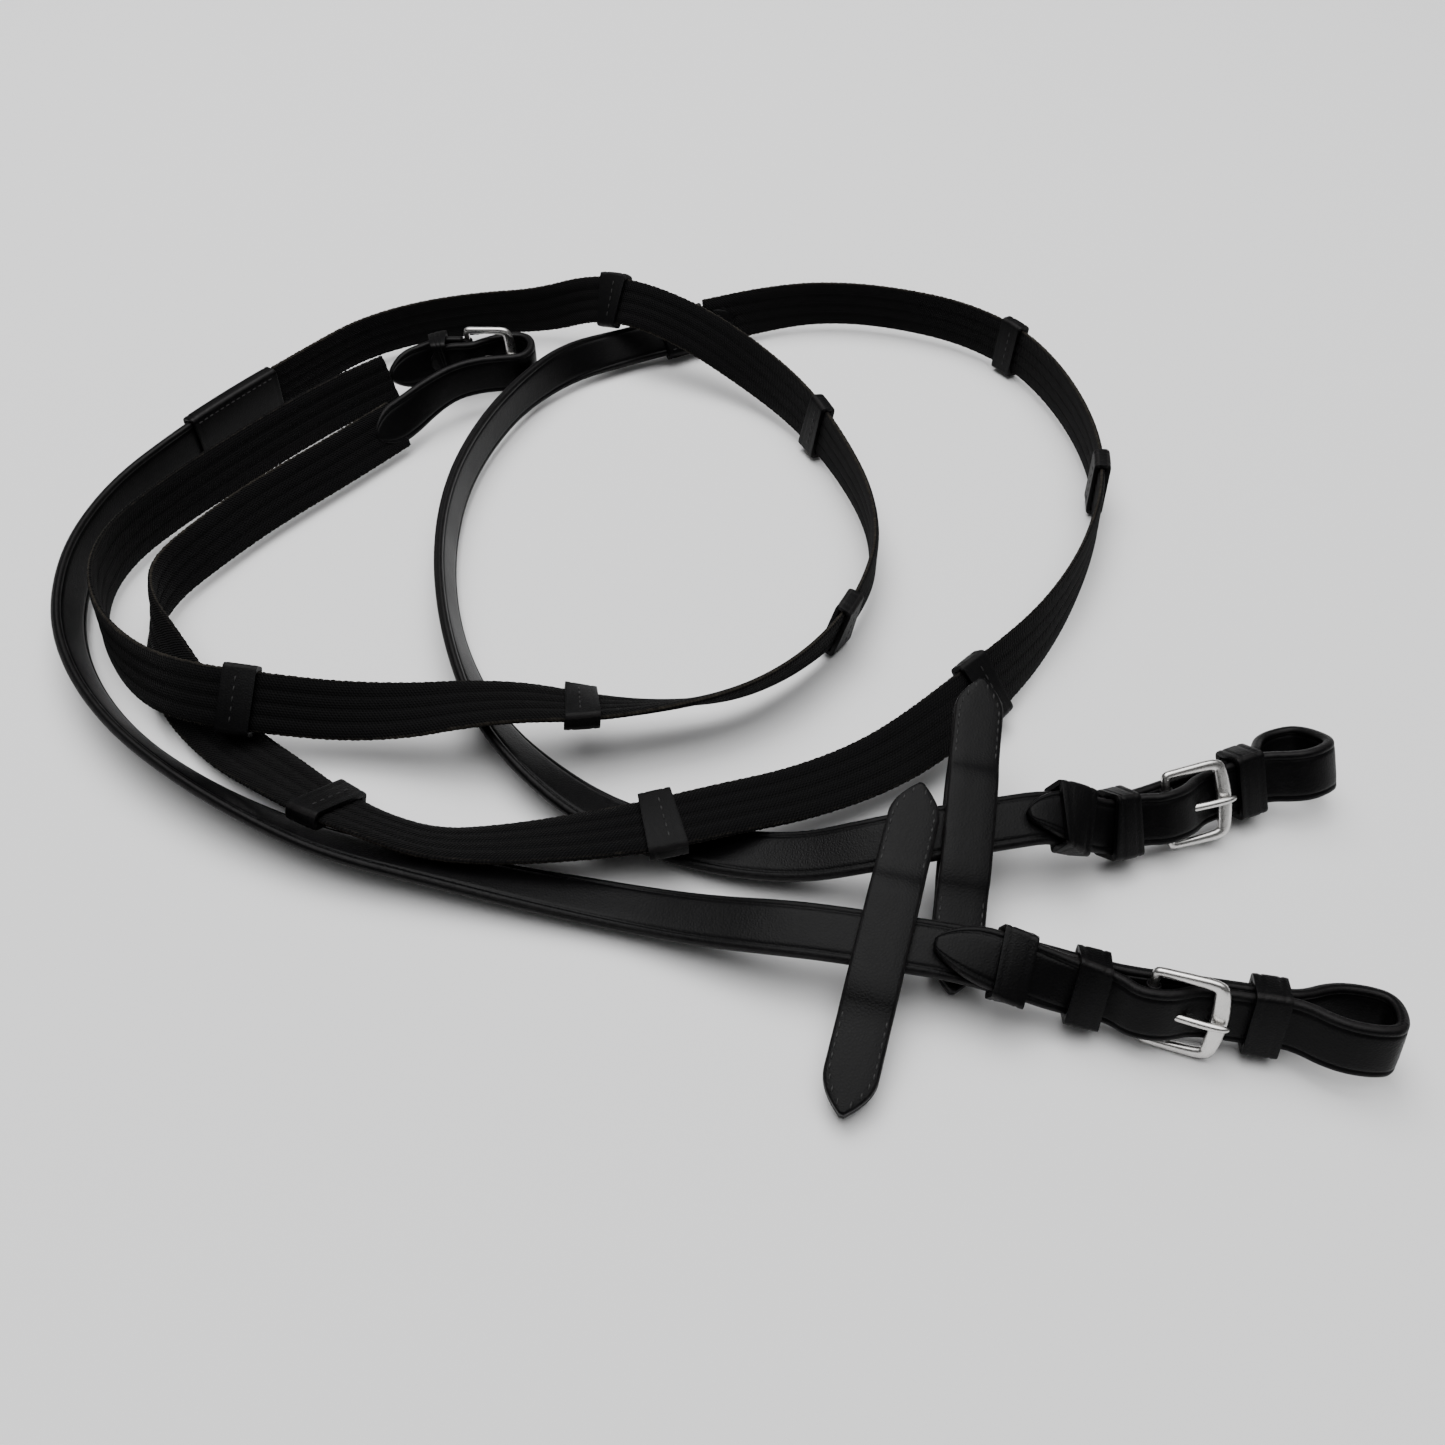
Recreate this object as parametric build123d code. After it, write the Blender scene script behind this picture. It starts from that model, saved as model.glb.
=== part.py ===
"""A pair of web reins, laid in loose loops on a flat surface.

Each rein is a leather strap with a bit loop, a billet and a buckle at one end, a long
woven web with five leather hand stops, and a short leather end. The two leather ends
are joined by the centre buckle. Millimetres, +Z up, +X towards the bit ends.
"""
from build123d import *
from bisect import bisect_right
from math import cos, degrees, hypot, radians, sin
import os

# ---- driving dimensions ----
LEATHER_WIDTH = 16.0
LEATHER_THICK = 3.2
WEB_WIDTH = 19.0
WEB_THICK = 2.6
LAYOUT_SHIFT = (-0.63, 14.46, 2.6)      # puts the origin under the middle of the laid-out pair

HAND_STOP_LONG = 10.5
HAND_STOP_WALL = 1.6
SNUG = 0.15                          # room between a fixed band and its strap
SLIDE_GAP = 0.35                     # room between a sliding band and its strap

BAR_RADIUS = 1.15                    # buckle wire
OUTER_BAR_RADIUS = 1.5
FRAME_LONG = 16.0                    # back bar to outer bar, between centres
FRAME_ACROSS = 22.0                  # between the centres of the side bars
FRAME_CORNER = 3.6
TONGUE_RADIUS = 1.2
TONGUE_TIP_RADIUS = 0.8
TONGUE_PAST_BAR = 2.4
SLEEVE_RADIUS = 2.1
SLEEVE_LONG = 3.2
HINGE_GAP = 0.06
CHAPE_THICK = 0.9
CHAPE_WIDTH = 14.0
CHAPE_TAIL = 7.0
LAYER_GAP = 0.3
TONGUE_SLOT_WIDE = 3.4
BILLET_SLOT = (0.5, 13.0)            # from the bar, towards the tongue's tip
CENTRE_SLOT = (0.9, 13.4)
SLEEVE_SLOT_WIDE = SLEEVE_LONG + 1.0
CENTRE_TILT = 3.5                    # the centre buckle's rise from its strap, in degrees
CENTRE_KEEPER = (13.5, 8.0)          # its two ends, measured back from the bar
CENTRE_STACK_LOW = -7.4

STOP_LAYER = 2.0
STOP_WIDTH = 14.5
STOP_HALF_LONG = 48.5
STOP_SEWN_FROM = 19.0
STOP_BULGE = 3.1
STOP_TIP_LONG = 11.0
STOP_TIP_WIDTH = 1.2

# ---- how the straps lie: x, y, z and roll in degrees. Roll 0 is flat, 90 is on edge ----
LEATHER_A = [
    (165, -185.4, 9.0, -74), (145, -181.8, 9.0, -74), (122, -177.6, 9.0, -74),
    (100, -173.2, 12, -36), (84, -170.2, 14.6, -14.5), (67, -167, 14.6, -14.5),
    (50, -163.8, 14.6, -14.5), (36, -161.2, 13.6, -14), (18, -155, 8, -8), (-4, -147, 3.2, 0),
    (-32, -140.5, 3.5, 9), (-60, -134, 5, 18), (-90, -127, 6.3, 28), (-115, -116, 7.3, 42),
    (-140, -101, 8, 52), (-163, -83, 8.5, 60), (-182, -61, 8.7, 65), (-196, -36, 8.7, 69),
    (-203, -9, 8.7, 72), (-204, 15, 8.7, 75), (-199, 42, 8.7, 79), (-187, 67, 9.2, 84),
    (-172, 93, 9.8, 90), (-158, 113, 9.8, 90)]
WEB_A = [
    (-158, 113, 9.8, 90), (-144, 133, 9.8, 90), (-130, 151, 9.8, 90), (-108, 165, 9.8, 88),
    (-82, 173, 9.8, 86), (-55, 173, 11, 78), (-32, 166, 21, 58), (-12, 154, 24.5, 44),
    (12, 141, 20.5, 44), (38, 120, 13, 62), (56, 95, 10.3, 76), (69, 62, 9.8, 86),
    (77, 30, 9.8, 90), (77, 2, 9.8, 90), (70, -20, 9.8, 84), (60, -38, 10, 74),
    (45, -56, 10.8, 63), (27, -69, 11.8, 53), (5, -75, 12.8, 39), (-18, -78, 15, 20),
    (-38, -79, 18.5, 6), (-56, -80, 18.5, -5), (-75, -79, 14.5, -22), (-98, -77, 12.5, -36),
    (-122, -76, 15.3, -42), (-145, -73, 17, -50), (-165, -59, 12, -68), (-183, -38, 10, -84),
    (-193, -13, 9.8, -95), (-192, 10, 9.8, -102), (-181, 33, 9.8, -108), (-163, 60, 10, -116),
    (-145, 85, 10, -118), (-128, 106, 10, -118), (-113, 120, 10, -118)]
END_A = [
    (-113, 120, 10, -118), (-101, 131.2, 10, -108), (-92, 134, 12.6, -90),
    (-86, 134, 12.6, -90), (-82, 134, 12.6, -90)]
LEATHER_B = [
    (178, -103, 9.0, -62), (160, -110.6, 9.0, -62), (142, -118.2, 9.0, -62),
    (131, -122.8, 10.5, -56), (117, -124.6, 17.3, -18.5), (104, -127.2, 17.3, -18.5),
    (91, -129.8, 17.3, -18.5), (77, -132.6, 17.3, -18.5), (64, -134, 15, -17),
    (46, -133, 8.5, -12), (26, -128, 4.2, -6), (5, -121, 3, 2), (-16, -111, 4.3, 14),
    (-34, -96, 6, 28), (-49, -78, 7.3, 44), (-60, -56, 8.2, 60), (-69, -30, 8.6, 72),
    (-75, 0, 8.6, 77), (-77, 30, 8.6, 80), (-75, 58, 8.6, 84), (-68, 87, 8.6, 86),
    (-57, 113, 8.6, 86), (-41, 136, 7.8, 64), (-20, 150, 6, 36), (4, 161, 6.6, 42),
    (28, 171, 9.3, 62)]
WEB_B = [
    (28, 171, 9.3, 62), (50, 180, 9.6, 78), (76, 182, 9.8, 86), (102, 176, 9.8, 86),
    (127, 164, 9.8, 84), (147, 143, 9.8, 83), (158, 116, 9.8, 85), (164, 86, 9.8, 88),
    (165, 58, 9.8, 90), (161, 32, 9.8, 91), (153, 8, 9.8, 94), (142, -16, 9.8, 99),
    (128, -39, 10.2, 109), (112, -59, 11, 127), (90, -82, 10.5, 152), (70, -98, 10, 165),
    (46, -110, 10.5, 172), (24, -118, 12.8, 176), (3, -124.5, 12.8, 178), (-18, -127, 10.8, 185),
    (-42, -127, 7.2, 194), (-62, -126, 6.2, 204), (-80, -120.5, 8.5, 210), (-97, -111, 8.2, 202),
    (-113, -98, 6, 189), (-127, -86, 2.8, 180), (-138, -76, 3.2, 174), (-150, -63, 5.5, 158),
    (-161, -46, 8.5, 135), (-168, -33, 9.6, 112), (-170, -22, 9.8, 92), (-170, -12, 9.8, 80),
    (-167, -2, 9.8, 72), (-159, 13, 9.6, 66), (-149, 30, 9.3, 60), (-137, 46, 9.2, 58),
    (-124, 62, 9.2, 58), (-112, 78, 9.2, 58)]
END_B = [
    (-112, 78, 9.2, 58), (-103, 90, 9.8, 64), (-95, 102, 11.5, 80), (-86.5, 112, 12.6, 90),
    (-77, 117.6, 12.6, 90), (-67, 119.4, 12.6, 90), (-57.5, 120.6, 12.6, 90),
    (-54.5, 129.5, 12.6, 90), (-58.5, 137.6, 12.6, 90), (-67, 137.2, 12.6, 90),
    (-75, 133, 12.6, 90), (-80, 129, 12.6, 90), (-87, 128.9, 12.6, 90), (-97, 127.5, 12.6, 90)]

HAND_STOPS_A = [(-24, 161), (61, 86), (64, -33), (-21, -78), (-128, -75)]
HAND_STOPS_B = [(145, 146), (161, 48), (107, -65), (5, -124), (-96, -114)]

# ---- each rein's bit end, measured back along the strap from its last straight point ----
BIT_END_A = {"bar": 30.5, "keepers": (1.0, 46.5, 67.0), "tip": 88.0, "loop_long": 29.5, "loop_gap": 11.5}
BIT_END_B = {"bar": 28.0, "keepers": (0.0, 44.0, 61.0), "tip": 74.0, "loop_long": 26.0, "loop_gap": 15.0}
PATCH_LONG = {"a": 44.0, "b": 34.0}
KEEPER_LONG = 9.0
KEEPER_WALL = 1.7
STOP_CENTRES = {"a": (66.3, -166.9), "b": (92, -129.6)}
STOP_TURNS = {"a": -5.5, "b": -20.0}      # degrees from square across the strap


def quadratic(points, per_piece):
    """Points on the smooth curve of order 3 that these points control."""
    curve = []
    last = len(points) - 2
    for i in range(1, last + 1):
        start = points[0] if i == 1 else middle(points[i - 1], points[i])
        end = points[-1] if i == last else middle(points[i], points[i + 1])
        steps = per_piece + 1 if i == last else per_piece
        for k in range(steps):
            t = k / per_piece
            a, b, c = (1 - t) ** 2, 2 * t * (1 - t), t * t
            curve.append(tuple(a * p + b * q + c * r for p, q, r in zip(start, points[i], end)))
    return curve


def middle(p, q):
    return tuple((a + b) / 2 for a, b in zip(p, q))


class Path:
    """The middle line of a strap, with its roll, measured by length from its start."""

    def __init__(self, route, per_piece=16):
        self.places = [tuple(a + b for a, b in zip(p[:3], LAYOUT_SHIFT)) + (p[3],)
                       for p in quadratic(route, per_piece)]
        self.lengths = [0.0]
        for p, q in zip(self.places, self.places[1:]):
            self.lengths.append(self.lengths[-1] + (Vector(*q[:3]) - Vector(*p[:3])).length)
        self.long = self.lengths[-1]

    def place(self, s):
        """Position and roll at a length, straight on past either end."""
        i = min(max(bisect_right(self.lengths, s) - 1, 0), len(self.places) - 2)
        p, q = self.places[i], self.places[i + 1]
        k = (s - self.lengths[i]) / (self.lengths[i + 1] - self.lengths[i])
        roll = p[3] + (q[3] - p[3]) * min(max(k, 0), 1)
        return Vector(*(a + (b - a) * k for a, b in zip(p[:3], q[:3]))), roll

    def frame(self, s):
        """Position, direction of travel, direction across the strap, and face normal."""
        here, roll = self.place(s)
        along = (self.place(s + 0.5)[0] - self.place(s - 0.5)[0]).normalized()
        left = Vector(-along.Y, along.X, 0).normalized()
        up = along.cross(left)
        across = left * cos(radians(roll)) + up * sin(radians(roll))
        return here, along, across, along.cross(across)

    def nearest(self, x, y):
        """The length at which the path passes closest to a point of the layout."""
        x, y = x + LAYOUT_SHIFT[0], y + LAYOUT_SHIFT[1]
        gaps = [hypot(p[0] - x, p[1] - y) for p in self.places]
        return self.lengths[gaps.index(min(gaps))]

    def plane(self, s, rise=0.0, tilt=0.0):
        """X back towards the start, Z along the face normal, raised and tilted about the width."""
        here, along, across, face = self.frame(s)
        origin = here + face * rise
        x_dir = along * -cos(radians(tilt)) + face * sin(radians(tilt))
        return Plane(origin=origin, x_dir=x_dir, z_dir=x_dir.cross(across * -1))


def rectangle(centre, across, through, width, thick):
    """A closed rectangle, centred, with sides along two directions."""
    w, t = across * (width / 2), through * (thick / 2)
    return Wire.make_polygon([centre - w - t, centre + w - t, centre + w + t, centre - w + t], close=True)


def strip(path, line, width, thick, tip_widths=()):
    """A strap of even thickness whose middle line is given as (length, height) on a path."""
    sections = []
    for i, (s, m) in enumerate(line):
        before, after = line[max(i - 1, 0)], line[min(i + 1, len(line) - 1)]
        ds, dm = after[0] - before[0], after[1] - before[1]
        here, along, across, face = path.frame(s)
        through = (face * ds - along * dm).normalized()
        from_tip = len(line) - 1 - i
        wide = tip_widths[from_tip] if from_tip < len(tip_widths) else width
        sections.append(rectangle(here + face * m, across, through, wide, thick))
    return Solid.make_loft(sections, ruled=True)


def level_line(start, end, height=0.0, step=6.0):
    """(length, height) points at one height, about a step apart."""
    count = max(1, round(abs(end - start) / step))
    return [(start + (end - start) * k / count, height) for k in range(count + 1)]


def band(path, start, end, low, high, width, wall, gap):
    """A closed ring round whatever lies between two heights on a path."""
    line = level_line(start, end, (low + high) / 2, 2.6)
    past = [(start - (end - start) * 0.1, line[0][1])] + line + [(end + (end - start) * 0.1, line[0][1])]
    outer = strip(path, line, width + 2 * (gap + wall), high - low + 2 * (gap + wall))
    inner = strip(path, past, width + 2 * gap, high - low + 2 * gap)
    return outer - inner


# ---- the bit end ----
def layer_heights():
    """Heights of the parts that lie on the strap at the buckle, from the strap's middle."""
    half = LEATHER_THICK / 2
    tail = half + LAYER_GAP + CHAPE_THICK / 2
    bar = tail - CHAPE_THICK / 2 + BAR_RADIUS + HINGE_GAP + CHAPE_THICK
    return {
        "billet": LEATHER_THICK + LAYER_GAP,
        "tail": tail,
        "over_tail": tail + CHAPE_THICK / 2 + LAYER_GAP + half,
        "bar": bar,
        "over_bar": bar + BAR_RADIUS + HINGE_GAP + CHAPE_THICK + LAYER_GAP + half,
        "outer_bar": LEATHER_THICK + LAYER_GAP + half + LAYER_GAP + OUTER_BAR_RADIUS}


def frame_tilt(heights):
    rise = heights["outer_bar"] - heights["bar"]
    return degrees(rise / FRAME_LONG)


def leather_line(path, end):
    """The middle line of the rein strap: up the strap, round the bit loop and back as the billet."""
    heights = layer_heights()
    billet = heights["billet"]
    belly = (end["loop_gap"] + LEATHER_THICK - billet) / 2
    bar, far = end["bar"], -end["loop_long"] - 2.0
    loop = [(6, 0), (0, 0), (-7, 0), (far * 0.5, -belly), (far + 7, -belly * 1.15), (far, -belly * 0.75),
            (far, billet + belly * 0.75), (far + 7, billet + belly * 1.15), (far * 0.5, billet + belly),
            (-7, billet),
            (0, billet), (bar - 19, billet), (bar - 11, billet + 0.3), (bar - 4.5, heights["over_bar"]),
            (bar + 4, heights["over_bar"]), (bar + CHAPE_TAIL + 1, heights["over_tail"]),
            (bar + CHAPE_TAIL + 4.5, billet), (bar + CHAPE_TAIL + 10, billet),
            (end["tip"] - 8, billet), (end["tip"], billet)]
    return level_line(path.long - 0.2, 6.0)[:-1] + quadratic(loop, 5)


def leather_strap(path, end):
    """The rein strap in one length, with the slot in its billet that the tongue goes through."""
    tips = (5.0, 9.5, 13.0, 15.2)
    strap = strip(path, leather_line(path, end), LEATHER_WIDTH, LEATHER_THICK, tips)
    return strap - path.plane(end["bar"], layer_heights()["bar"]) * Pos(0, 0, 5.0) * tongue_slot(BILLET_SLOT, 9.0)


def tongue_slot(span, deep):
    """What is cut away for a tongue between two distances from its bar."""
    return Pos(sum(span) / 2, 0, 0) * Box(span[1] - span[0], TONGUE_SLOT_WIDE, deep)


def hinge_ring(width):
    """Leather round the buckle's bar, cut away in the middle for the tongue."""
    outer = BAR_RADIUS + HINGE_GAP + CHAPE_THICK
    return Rot(90, 0, 0) * (Cylinder(outer, width) - Cylinder(BAR_RADIUS + HINGE_GAP, width + 2))


def chape(path, end):
    """The tab that holds the buckle: a tail sewn on the strap and a ring round the bar."""
    heights = layer_heights()
    bar = end["bar"]
    tail = Pos(-CHAPE_TAIL / 2, 0, heights["tail"] - heights["bar"]) * Box(CHAPE_TAIL, CHAPE_WIDTH, CHAPE_THICK)
    slot = Pos(0.5, 0, 0) * Box(8.0, SLEEVE_SLOT_WIDE, 2 * SLEEVE_RADIUS + 2.0)
    return path.plane(bar, heights["bar"]) * (tail + hinge_ring(CHAPE_WIDTH) - slot)


def buckle_frame(place):
    """A D-shaped wire frame lying on a plane, with its back bar along the plane's Y."""
    half = FRAME_ACROSS / 2
    corners = [(0, -half), (FRAME_LONG, -half), (FRAME_LONG, half), (0, half)]
    outline = FilletPolyline(*corners, radius=FRAME_CORNER, close=True)
    start = Plane(origin=(FRAME_LONG / 2, -half, 0), z_dir=(1, 0, 0))
    frame = sweep(start * Circle(BAR_RADIUS), path=outline)
    thick_bar = Pos(FRAME_LONG, 0, 0) * Rot(90, 0, 0) * Cylinder(OUTER_BAR_RADIUS, FRAME_ACROSS - 2 * FRAME_CORNER)
    return place * (frame + thick_bar)


def buckle_tongue(place):
    """The tongue: a sleeve on the back bar and a tapered rod that rests on the outer bar."""
    reach = FRAME_LONG + TONGUE_PAST_BAR
    lie = OUTER_BAR_RADIUS + TONGUE_RADIUS + 0.05
    lift = degrees(lie / FRAME_LONG)
    bore = Rot(90, 0, 0) * Cylinder(BAR_RADIUS + HINGE_GAP, SLEEVE_LONG + 2)
    sleeve = Rot(90, 0, 0) * Cylinder(SLEEVE_RADIUS, SLEEVE_LONG)
    rod = Rot(0, -lift, 0) * Pos(reach / 2, 0, 0) * Rot(0, 90, 0) * Cone(TONGUE_RADIUS, TONGUE_TIP_RADIUS, reach)
    return place * (sleeve + rod - bore)


# ---- rein stops ----
def stop_layer(path, s, side, turn):
    """One leather layer of a rein stop, with pointed ends, over or under the strap."""
    here, along, across, face = path.frame(s)
    square = along
    along = square * cos(radians(turn)) + across * sin(radians(turn))
    across = across * cos(radians(turn)) - square * sin(radians(turn))
    flat = STOP_LAYER / 2 + 0.05
    points = [(-STOP_HALF_LONG, flat), (-44, flat), (-32, flat), (-STOP_SEWN_FROM - 2, flat), (-15, STOP_BULGE),
              (-6, STOP_BULGE), (6, STOP_BULGE), (15, STOP_BULGE), (STOP_SEWN_FROM + 2, flat), (32, flat),
              (44, flat), (STOP_HALF_LONG, flat)]
    sections = []
    line = quadratic(points, 4)
    for i, (a, m) in enumerate(line):
        before, after = line[max(i - 1, 0)], line[min(i + 1, len(line) - 1)]
        da, dm = after[0] - before[0], after[1] - before[1]
        through = (face * side * da - across * dm).normalized()
        to_tip = STOP_HALF_LONG - abs(a)
        blunt = 1 - (1 - min(to_tip / STOP_TIP_LONG, 1)) ** 2
        wide = STOP_TIP_WIDTH + (STOP_WIDTH - STOP_TIP_WIDTH) * blunt
        sections.append(rectangle(here + across * a + face * side * m, along, through, wide, STOP_LAYER))
    return Solid.make_loft(sections, ruled=True)


def make_rein(name, leather_route, web_route, stops, end):
    """All the pieces of one rein but its centre leather end."""
    leather, web = Path(leather_route), Path(web_route)
    half = LEATHER_THICK / 2
    billet_top = layer_heights()["billet"] + half
    pieces = {
        f"rein_{name}_leather": leather_strap(leather, end),
        f"rein_{name}_web": strip(web, level_line(1.2, web.long - 0.3), WEB_WIDTH, WEB_THICK),
        f"rein_{name}_joint_patch": band(leather, leather.long - PATCH_LONG[name], leather.long - 0.5, -half, half,
                                         LEATHER_WIDTH, 1.4, SNUG),
        f"rein_{name}_bit_chape": chape(leather, end)}
    tilt = frame_tilt(layer_heights())
    place = leather.plane(end["bar"], layer_heights()["bar"], tilt)
    pieces[f"rein_{name}_bit_buckle"] = buckle_frame(place)
    pieces[f"rein_{name}_bit_tongue"] = buckle_tongue(place)
    for i, s in enumerate(end["keepers"]):
        gap = SLIDE_GAP if i == 0 else SNUG
        top = billet_top + 0.2
        if i == 1:
            top += 0.5
        low = s - KEEPER_LONG / 2
        pieces[f"rein_{name}_keeper_{i + 1}"] = band(leather, low, low + KEEPER_LONG, -half, top,
                                                     LEATHER_WIDTH, KEEPER_WALL, gap)
    for i, (x, y) in enumerate(stops):
        low = web.nearest(x, y) - HAND_STOP_LONG / 2
        pieces[f"rein_{name}_hand_stop_{i + 1}"] = band(web, low, low + HAND_STOP_LONG, -WEB_THICK / 2,
                                                        WEB_THICK / 2, WEB_WIDTH, HAND_STOP_WALL, SNUG)
    stop_at, turn = leather.nearest(*STOP_CENTRES[name]), STOP_TURNS[name]
    pieces[f"rein_{name}_stop_top"] = stop_layer(leather, stop_at, 1, turn)
    pieces[f"rein_{name}_stop_bottom"] = stop_layer(leather, stop_at, -1, turn)
    describe(name, leather, web, end, place, stop_at)
    return pieces


def metres(v):
    return [round(c / 1000, 5) for c in (v.X, v.Y, v.Z)]


def describe(name, leather, web, end, place, stop_at):
    """Prints what the record states about a rein: lengths, hinge axes and slides."""
    line = [Vector(s, m, 0) for s, m in leather_line(leather, end)]
    whole = sum((q - p).length for p, q in zip(line, line[1:]))
    here, along, across, face = leather.frame(end["bar"])
    print(f"rein {name}: leather {leather.long:.0f} to the bit end, {whole:.0f} with loop and billet,",
          f"web {web.long:.0f}")
    mouth = leather.plane(-end["loop_long"] * 0.64, layer_heights()["billet"] / 2)
    print(f"  bit loop middle {metres(mouth.origin)}", [[round(c, 4) for c in (d.X, d.Y, d.Z)]
                                                        for d in (along, across, face)])
    print(f"  bar at {metres(place.origin)} axis {[round(c, 5) for c in (across.X, across.Y, across.Z)]}")
    for what, s in (("bit keeper slide", end["keepers"][0]), ("rein stop slide", stop_at)):
        here, along, across, face = leather.frame(s)
        print(f"  {what} at {metres(here)} axis {[round(c, 5) for c in (along.X, along.Y, along.Z)]}")


def make_centre():
    """The leather ends of the two reins and the buckle that joins them."""
    path_a, path_b = Path(END_A), Path(END_B)
    bar_at = path_a.long
    here, along, across, face = path_a.frame(bar_at)
    place = Plane(origin=here, x_dir=along, z_dir=face * -1)
    end_a = strip(path_a, level_line(0.2, bar_at - 2.0, 0, 3.0), LEATHER_WIDTH, LEATHER_THICK)
    slot = Box(9.0, SLEEVE_SLOT_WIDE, 9.0)
    end_a = end_a + place * hinge_ring(CHAPE_WIDTH) - place * slot
    frame_place = place * Rot(0, -CENTRE_TILT, 0)
    end_b = strip(path_b, level_line(0.2, path_b.long, 0, 3.0), LEATHER_WIDTH, LEATHER_THICK, (8.0, 13.0))
    print("centre bar at", metres(here), "axis", [round(c, 5) for c in (across.X, across.Y, across.Z)])
    return {
        "rein_a_centre_end": end_a,
        "rein_b_centre_end": end_b - place * tongue_slot(CENTRE_SLOT, 14.0),
        "centre_buckle": buckle_frame(frame_place),
        "centre_tongue": buckle_tongue(frame_place),
        "centre_keeper": band(path_a, bar_at - CENTRE_KEEPER[0], bar_at - CENTRE_KEEPER[1], CENTRE_STACK_LOW,
                              LEATHER_THICK / 2, LEATHER_WIDTH, KEEPER_WALL, SNUG)}


os.makedirs("parts", exist_ok=True)
pieces = make_rein("a", LEATHER_A, WEB_A, HAND_STOPS_A, BIT_END_A)
pieces.update(make_rein("b", LEATHER_B, WEB_B, HAND_STOPS_B, BIT_END_B))
pieces.update(make_centre())
for node, shape in pieces.items():
    export_step(shape, f"parts/{node}.step")
box = Compound(children=list(pieces.values())).bounding_box()
print("box", [round(v, 2) for v in (box.min.X, box.max.X, box.min.Y, box.max.Y, box.min.Z, box.max.Z)])
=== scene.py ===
import math
import bpy
import bmesh
from mathutils import Matrix, Vector


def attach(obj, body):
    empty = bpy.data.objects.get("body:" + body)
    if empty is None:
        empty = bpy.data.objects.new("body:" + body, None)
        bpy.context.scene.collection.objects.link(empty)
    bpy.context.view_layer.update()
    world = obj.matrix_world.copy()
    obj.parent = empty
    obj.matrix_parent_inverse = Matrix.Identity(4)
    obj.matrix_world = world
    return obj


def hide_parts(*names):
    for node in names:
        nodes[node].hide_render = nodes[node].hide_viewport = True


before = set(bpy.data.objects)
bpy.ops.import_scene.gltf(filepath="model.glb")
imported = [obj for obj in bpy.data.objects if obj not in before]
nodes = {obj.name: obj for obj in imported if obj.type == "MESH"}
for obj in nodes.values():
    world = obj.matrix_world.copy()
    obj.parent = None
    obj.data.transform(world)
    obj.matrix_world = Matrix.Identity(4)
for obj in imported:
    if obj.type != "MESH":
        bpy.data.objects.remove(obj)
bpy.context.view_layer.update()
print("frame loaded")

# where the straps lie: x, y, z in metres and roll in degrees, 0 flat and 90 on edge
layoutShift = Vector((-0.00063, 0.01446, 0.0026))
leatherRouteA = [
    (0.165, -0.1854, 0.009, -74), (0.145, -0.1818, 0.009, -74), (0.122, -0.1776, 0.009, -74),
    (0.1, -0.1732, 0.012, -36), (0.084, -0.1702, 0.0146, -14.5), (0.067, -0.167, 0.0146, -14.5),
    (0.05, -0.1638, 0.0146, -14.5), (0.036, -0.1612, 0.0136, -14), (0.018, -0.155, 0.008, -8),
    (-0.004, -0.147, 0.0032, 0), (-0.032, -0.1405, 0.0035, 9), (-0.06, -0.134, 0.005, 18),
    (-0.09, -0.127, 0.0063, 28), (-0.115, -0.116, 0.0073, 42), (-0.14, -0.101, 0.008, 52),
    (-0.163, -0.083, 0.0085, 60), (-0.182, -0.061, 0.0087, 65), (-0.196, -0.036, 0.0087, 69),
    (-0.203, -0.009, 0.0087, 72), (-0.204, 0.015, 0.0087, 75), (-0.199, 0.042, 0.0087, 79),
    (-0.187, 0.067, 0.0092, 84), (-0.172, 0.093, 0.0098, 90), (-0.158, 0.113, 0.0098, 90)]
webRouteA = [
    (-0.158, 0.113, 0.0098, 90), (-0.144, 0.133, 0.0098, 90), (-0.13, 0.151, 0.0098, 90),
    (-0.108, 0.165, 0.0098, 88), (-0.082, 0.173, 0.0098, 86), (-0.055, 0.173, 0.011, 78),
    (-0.032, 0.166, 0.021, 58), (-0.012, 0.154, 0.0245, 44), (0.012, 0.141, 0.0205, 44),
    (0.038, 0.12, 0.013, 62), (0.056, 0.095, 0.0103, 76), (0.069, 0.062, 0.0098, 86),
    (0.077, 0.03, 0.0098, 90), (0.077, 0.002, 0.0098, 90), (0.07, -0.02, 0.0098, 84),
    (0.06, -0.038, 0.01, 74), (0.045, -0.056, 0.0108, 63), (0.027, -0.069, 0.0118, 53),
    (0.005, -0.075, 0.0128, 39), (-0.018, -0.078, 0.015, 20), (-0.038, -0.079, 0.0185, 6),
    (-0.056, -0.08, 0.0185, -5), (-0.075, -0.079, 0.0145, -22), (-0.098, -0.077, 0.0125, -36),
    (-0.122, -0.076, 0.0153, -42), (-0.145, -0.073, 0.017, -50), (-0.165, -0.059, 0.012, -68),
    (-0.183, -0.038, 0.01, -84), (-0.193, -0.013, 0.0098, -95), (-0.192, 0.01, 0.0098, -102),
    (-0.181, 0.033, 0.0098, -108), (-0.163, 0.06, 0.01, -116), (-0.145, 0.085, 0.01, -118),
    (-0.128, 0.106, 0.01, -118), (-0.113, 0.12, 0.01, -118)]
endRouteA = [
    (-0.113, 0.12, 0.01, -118), (-0.101, 0.1312, 0.01, -108), (-0.092, 0.134, 0.0126, -90),
    (-0.086, 0.134, 0.0126, -90), (-0.082, 0.134, 0.0126, -90)]
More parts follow.
